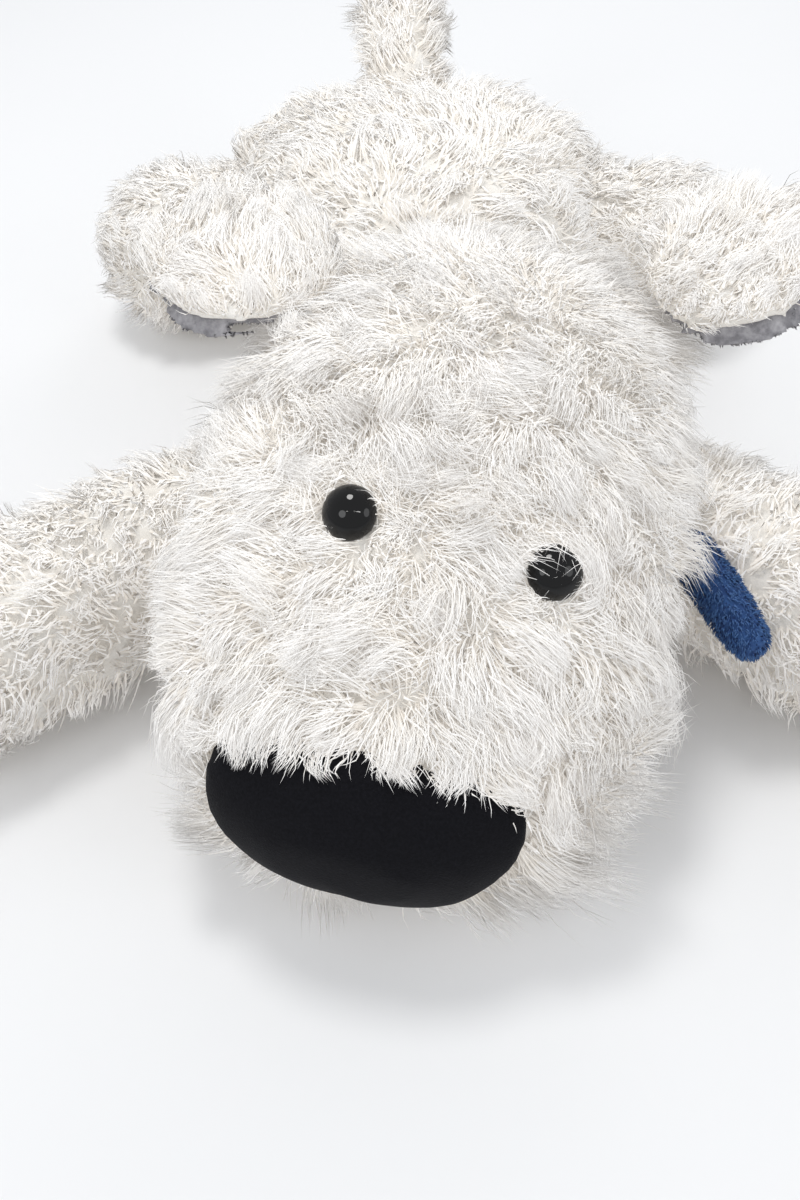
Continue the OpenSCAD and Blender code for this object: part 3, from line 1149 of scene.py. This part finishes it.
    def _trim(self, points: np.ndarray, normals: np.ndarray) -> np.ndarray:
        """Shortens the pile at the eyes, above the nose and near the floor.

        Args:
            points: Points of the row frame.
            normals: The cover's normals there; not used.

        Returns:
            The share of the full length at each point. It is above 1 at the full jowl.
        """
        local = self.toy.pose.local(points)
        x, y, z = local.T
        trim = np.ones(len(points))
        for eye in self._eyes():
            gap = points - eye
            room = np.linalg.norm(gap, axis=1)
            least = np.where(gap[:, 1] > 0, 0.8, 0.4)
            trim = np.minimum(trim, np.clip((room - 0.006) / 0.020, least, 1))
        fringe = np.minimum(trim, 0.62 + 0.9 * (self._nose_ring(local) - 1))
        trim = np.where((y < -0.13) & (z > -0.02), fringe, trim)
        jowl = np.clip((x - 0.02) / 0.03, 0, 1) * (z < 0) * (y < -0.08)
        low = np.clip(points[:, 2] / 0.02, 0.25, 1)
        return np.clip(trim, 0.3, 1) * low * (1 + self.jowl_longer * jowl)

    def _coat(self, skin: bpy.types.Object) -> None:
        """Grows the head's pile, region by region.

        Args:
            skin: The head cover.
        """
        special = {
            "muzzle": {"steps": 4},
            "throat": {"length": self.throat_pile},
            "chin": {"length": self.chin_pile, "lift": 1.0, "sag": 0.0},
        }
        for region, strands in self.strands.items():
            coat = replace(Coat(strands, self.pile), **special.get(region, {}))
            self.toy.fur(skin, f"head_fur_{region}", "head", coat, self._flow,
                         partial(self._region, region), self._trim)

    def _brow(self, skin: bpy.types.Object, side: Side) -> None:
        """Grows the thin long hairs that hang over the upper part of an eye.

        Args:
            skin: The head cover.
            side: The side of the eye.
        """
        eye = np.array(middle_of(f"eye_{side.value}"))
        self.toy.fur(skin, f"brow_{side.value}", "head", self.brow,
                     partial(self._brow_way, eye), partial(self._brow_place, eye))

    def _brow_place(self, eye: np.ndarray, points: np.ndarray,
                    normals: np.ndarray) -> np.ndarray:
        """Returns 1 in a ring beside and above the eye, else 0."""
        gap = points - eye
        room = np.linalg.norm(gap, axis=1)
        ring = (room > self.brow_near) & (room < self.brow_far)
        return (ring & (gap[:, 1] > -self.brow_below)).astype(float)

    def _brow_way(self, eye: np.ndarray, points: np.ndarray,
                  normals: np.ndarray) -> np.ndarray:
        """Returns directions that lead over the eye."""
        return unit(eye + np.array(self.brow_aim) - points) + 0.35 * swirl(points, 0.01, 3)


@dataclass
class Ear:
    """One lined ear."""

    toy: Toy
    side: Side
    lift: float
    lining_step: Triple
    lining_share: Triple = (1.05, 1.05, 1.2)
    cloth: Cloth = Cloth(0.0022, 0.0015, smooth=3, fill=0.3)
    centre_rise: float = 0.03
    lean: Triple = (0, 0.5, 0.3)
    spread: float = 6.0
    front_reach: float = 0.028
    pile: Coat = Coat(3300, 0.014, lock=0.0095, wave=0.0024)
    lining_pile: Coat = Coat(3400, 0.0013, 0.0007, lift=0.8, bend=0.4, lock=0.003, gather=0.3,
                             wave=0.0002, steps=2)

    def build(self) -> None:
        """Builds the ear's back and lining and grows both piles."""
        toy, body = self.toy, f"ear_{self.side.value}"
        outer, inner = (toy.skin(f"{body}_{name}", (f"{body}_{node}",), (f"{body}_{node}",),
                                 body, self.cloth)
                        for name, node in (("back", "outer"), ("front", "lining")))
        Bench.stretch(inner, self.lining_share, self.lining_step)
        for piece in (outer, inner):
            Bench.turn(piece, self.lift, self._root())
        toy.dress(outer, Slot.FUR, Finishes.UNDERCOAT)
        toy.dress(inner, Slot.LINING, Finishes.LINING)
        face = unit(Bench.corners(outer.data).mean(0) - Bench.corners(inner.data).mean(0))
        flow = self._comb()
        toy.fur(outer, f"{body}_fur", body, self.pile, flow, Facing(tuple(face), 0.6), self._trim)
        toy.fur(inner, f"{body}_pile", body, self.lining_pile, flow, Facing(tuple(-face), 0.35),
                slot=Slot.LINING, tones=Finishes.LINING_TONES)

    def _middle(self) -> np.ndarray:
        """Returns the middle of the ear."""
        return np.array(middle_of(f"ear_{self.side.value}_outer"))

    def _root(self) -> Vector:
        """Returns the end of the ear that is sewn to the head."""
        low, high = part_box(f"ear_{self.side.value}_outer")
        x = high.x if self.side is Side.RIGHT else low.x
        return Vector((x, high.y, (low.z + high.z) / 2))

    def _comb(self) -> Comb:
        """Returns a direction away from the head that spreads over the ear."""
        centre = np.array(self.toy.pose.neck) + np.array([0, 0, self.centre_rise])
        away = unit(self._middle() - centre) + np.array(self.lean)
        return Comb(tuple(away), (self.spread,) * 3, tuple(self._middle()))

    def _trim(self, points: np.ndarray, normals: np.ndarray) -> np.ndarray:
        """Returns the share of the full length: shorter towards the front edge."""
        ahead = (self._middle()[1] - points[:, 1]) / self.front_reach
        return np.clip(1.25 - 0.9 * np.clip(ahead, 0, 1), 0.35, 1)


@dataclass
class Torso:
    """Torso and belly covers."""

    toy: Toy
    cloth: Cloth = Cloth(0.005, 0.002)
    belly_cloth: Cloth = Cloth(0.0015, 0.0004, smooth=2, fill=0.2)
    belly_share: Triple = (0.62, 0.90, 1.0)
    coat: Coat = Coat(6700, 0.0145, 0.00075)
    comb: Comb = Comb((0, 0.6, -0.5), (1 / 0.06, 0, 0))
    rump: float = 0.12

    def build(self) -> None:
        """Builds the torso and grows its pile in two halves."""
        toy = self.toy
        skin = toy.skin("torso_cover", ("torso_back_shell", "torso_filling"),
                        ("torso_back_shell",), "torso", self.cloth)
        toy.dress(skin, Slot.FUR, Finishes.UNDERCOAT)
        panel = ("torso_belly_panel",)
        belly = toy.skin("belly_cover", panel, panel, "torso", self.belly_cloth)
        Bench.stretch(belly, self.belly_share)
        toy.dress(belly, Slot.BELLY, Finishes.BELLY)
        for name, back in (("rump", True), ("shoulders", False)):
            toy.fur(skin, f"torso_fur_{name}", "torso", self.coat, self.comb,
                    partial(self._half, back), toy.ground.trim)

    def _half(self, back: bool, points: np.ndarray, normals: np.ndarray) -> np.ndarray:
        """Gives the density of one half of the pile.

        Args:
            back: True for the rear half.
            points: Points of the row frame.
            normals: The cover's normals there.

        Returns:
            The share of the full density at each point.
        """
        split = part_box("torso_back_shell")[1].y - self.rump
        return self.toy.ground.thick(points, normals) * ((points[:, 1] > split) == back)


@dataclass
class Limb:
    """A stuffed tube with its own pile: the neck, a leg or the tail."""

    toy: Toy
    name: str
    cloth: Cloth
    coat: Coat
    comb: Comb
    on_ground: bool = True

    def build(self) -> None:
        """Builds the cover and grows its pile."""
        toy, name = self.toy, self.name
        skin = toy.skin(f"{name}_cover", (f"{name}_shell", f"{name}_filling"),
                        (f"{name}_shell",), name, self.cloth)
        toy.dress(skin, Slot.FUR, Finishes.UNDERCOAT)
        fields = (toy.ground.thick, toy.ground.trim) if self.on_ground else (everywhere,) * 2
        toy.fur(skin, f"{name}_fur", name, self.coat, self.comb, *fields)


@dataclass
class Limbs:
    """Neck, legs and tail."""

    toy: Toy
    neck_cloth: Cloth = Cloth(0.004, 0.0)
    neck_coat: Coat = Coat(900, 0.0110, 0.00075)
    neck_comb: Comb = Comb((0, 0.5, -0.3), (1 / 0.06, 0, 0))
    leg_cloth: Cloth = Cloth(0.005, 0.002)
    leg_coat: Coat = Coat(6800, 0.0130, 0.00075, wave=0.0030, cycles=1.0, lock=0.0090)
    leg_strands: dict[End, int] = field(default_factory=lambda: {End.FRONT: 6800, End.REAR: 4500})
    leg_outward: Triple = (1.0, -0.5, -0.1)
    leg_spread: float = 14.0
    tail_cloth: Cloth = Cloth(0.004, 0.002)
    tail_coat: Coat = Coat(3000, 0.0130, 0.0007)
    tail_comb: Comb = Comb((-0.1, 0.7, 0.7))

    def build(self) -> None:
        """Builds the neck, the four legs and the tail."""
        Limb(self.toy, "neck", self.neck_cloth, self.neck_coat, self.neck_comb).build()
        for end in End:
            for side in Side:
                self._leg(end, side).build()
        Limb(self.toy, "tail", self.tail_cloth, self.tail_coat, self.tail_comb, False).build()

    def _leg(self, end: End, side: Side) -> Limb:
        """Describes one leg.

        Args:
            end: Front or rear.
            side: The dog's own side.

        Returns:
            The leg, combed outwards from its middle.
        """
        name = f"{end.value}_leg_{side.value}"
        x, y, z = self.leg_outward
        comb = Comb((-x if side is Side.RIGHT else x, y, z), (self.leg_spread,) * 3,
                    tuple(middle_of(f"{name}_shell")))
        coat = replace(self.leg_coat, strands=self.leg_strands[end])
        return Limb(self.toy, name, self.leg_cloth, coat, comb)


@dataclass
class Scarf:
    """The tied plush scarf."""

    toy: Toy
    cloth: Cloth = Cloth(0.002, 0.0015, smooth=3, fill=0.6)
    coat: Coat = Coat(0, 0.0028, 0.0005, lift=0.85, bend=0.4, lock=0.0028, gather=0.35,
                      wave=0.0002, steps=2)
    hang: Triple = (0, -0.01, -0.01)
    parts: dict[str, tuple[str, int]] = field(default_factory=lambda: {
        "scarf_long_end": ("scarf_end", 5200),
        "scarf_short_end": ("torso", 500),
        "scarf_knot": ("torso", 700),
        "scarf_band": ("torso", 800),
    })

    def build(self) -> None:
        """Builds the scarf's pieces with their short pile."""
        for node, (body, strands) in self.parts.items():
            skin = self.toy.skin(f"{node}_cover", (node,), (node,), body, self.cloth)
            self.toy.dress(skin, Slot.SCARF, Finishes.SCARF)
            middle = tuple(Bench.corners(skin.data).mean(0))
            self.toy.fur(skin, f"{node}_pile", body, replace(self.coat, strands=strands),
                         Comb(self.hang, (1, 1, 1), middle), everywhere,
                         slot=Slot.SCARF, tones=Finishes.SCARF_TONES)


@dataclass
class Inside:
    """The pieces that the covers hide, in their own finishes."""

    toy: Toy
    finishes: dict[Slot, Finish] = field(default_factory=lambda: {
        Slot.WADDING: Finishes.WADDING,
        Slot.POUCH: Finishes.POUCH,
        Slot.PELLETS: Finishes.PELLETS,
        Slot.WASHER: Finishes.WASHER,
    })

    def build(self) -> None:
        """Gives each CAD node that is still shown its finish."""
        slots = {s["node"]: s["material_slot"] for s in frame["record"]["subparts"]}
        for node, shown in frame["nodes"].items():
            slot = Slot(slots[node])
            if shown.hide_render or slot not in self.finishes:
                continue
            shown.data.materials.clear()
            finish = self.toy.finishes.get(slot.value, self.finishes[slot])
            shown.data.materials.append(finish)


# ---- studio -------------------------------------------------------------------------


@dataclass(frozen=True)
class Lamp:
    """A soft round light."""

    name: str
    place: Triple
    size: float
    power: float
    tint: Triple

    def build(self, aim: Vector) -> None:
        """Hangs the lamp.

        Args:
            aim: The point that it shines at.
        """
        light = bpy.data.lights.new(self.name, "AREA")
        light.shape = "DISK"
        light.size = self.size
        light.energy = self.power
        light.color = self.tint
        holder = bpy.data.objects.new(self.name, light)
        holder.location = self.place
        holder.rotation_euler = (aim - Vector(self.place)).to_track_quat("-Z", "Y").to_euler()
        bpy.context.collection.objects.link(holder)


@dataclass
class Studio:
    """Pale floor, soft light and the camera."""

    floor_size: float = 40
    lamp_aim: Triple = (0, 0, 0.05)
    lamps: tuple[Lamp, ...] = (
        Lamp("top", (-0.22, 0.12, 1.25), 0.36, 4.8, (1, 0.99, 0.975)),
        Lamp("fill", (-0.75, -0.9, 0.9), 0.5, 1.9, (0.98, 0.99, 1)),
        Lamp("back", (0.3, 1.1, 0.8), 0.7, 1.6, (0.97, 0.985, 1)),
        Lamp("side", (0.95, -0.6, 0.7), 0.6, 1.6, (0.98, 0.99, 1)),
    )
    sky: Triple = (0.965, 0.98, 1.0)
    sky_strength: float = 0.73
    aim: Triple = (-0.0165, -0.1415, 0.060)
    azimuth: float = 3.0
    elevation: float = 47.0
    roll: float = -1.5
    away: float = 0.425
    lens: float = 36.0
    nearest: float = 0.01

    def build(self, finishes: Finishes) -> None:
        """Builds the studio.

        Args:
            finishes: The finishes, of which the floor takes one.
        """
        bpy.ops.object.select_all(action="DESELECT")
        bpy.ops.mesh.primitive_plane_add(size=self.floor_size)
        floor = bpy.context.object
        floor.name = "floor"
        floor.data.materials.append(finishes.get("floor", Finishes.FLOOR))
        for lamp in self.lamps:
            lamp.build(Vector(self.lamp_aim))
        world = bpy.data.worlds.new("studio")
        bpy.context.scene.world = world
        world.use_nodes = True
        sky = world.node_tree.nodes["Background"]
        sky.inputs["Color"].default_value = (*self.sky, 1)
        sky.inputs["Strength"].default_value = self.sky_strength
        bpy.context.scene.view_settings.view_transform = "Standard"
        self._camera()

    def _camera(self) -> None:
        """Sets the camera on its aim, in front of the toy and above it."""
        az, el, roll = (math.radians(a) for a in (self.azimuth, self.elevation, self.roll))
        back = Vector((math.sin(az) * math.cos(el), -math.cos(az) * math.cos(el), math.sin(el)))
        right = Vector((math.cos(az), math.sin(az), 0))
        up = back.cross(right)
        side = right * math.cos(roll) + up * math.sin(roll)
        top = up * math.cos(roll) - right * math.sin(roll)
        turned = Matrix((side, top, back)).transposed().to_4x4()
        data = bpy.data.cameras.new("camera")
        data.lens = self.lens
        data.clip_start = self.nearest
        camera = bpy.data.objects.new("camera", data)
        camera.matrix_world = Matrix.Translation(Vector(self.aim) + back * self.away) @ turned
        bpy.context.collection.objects.link(camera)
        bpy.context.scene.camera = camera


def main() -> None:
    """Builds the toy and its studio, and notes its size."""
    logging.basicConfig(level=logging.INFO)
    toy = Toy()
    parts = (
        Head(toy),
        Ear(toy, Side.RIGHT, 0.0, (0, -0.0022, -0.0010)),
        Ear(toy, Side.LEFT, -13.0, (0.0030, -0.0020, -0.0014)),
        Torso(toy),
        Limbs(toy),
        Scarf(toy),
        Inside(toy),
    )
    for part in parts:
        part.build()
        log.info("%s done", type(part).__name__)
    Studio().build(toy.finishes)
    bpy.context.view_layer.update()


if __name__ == "__main__":
    main()
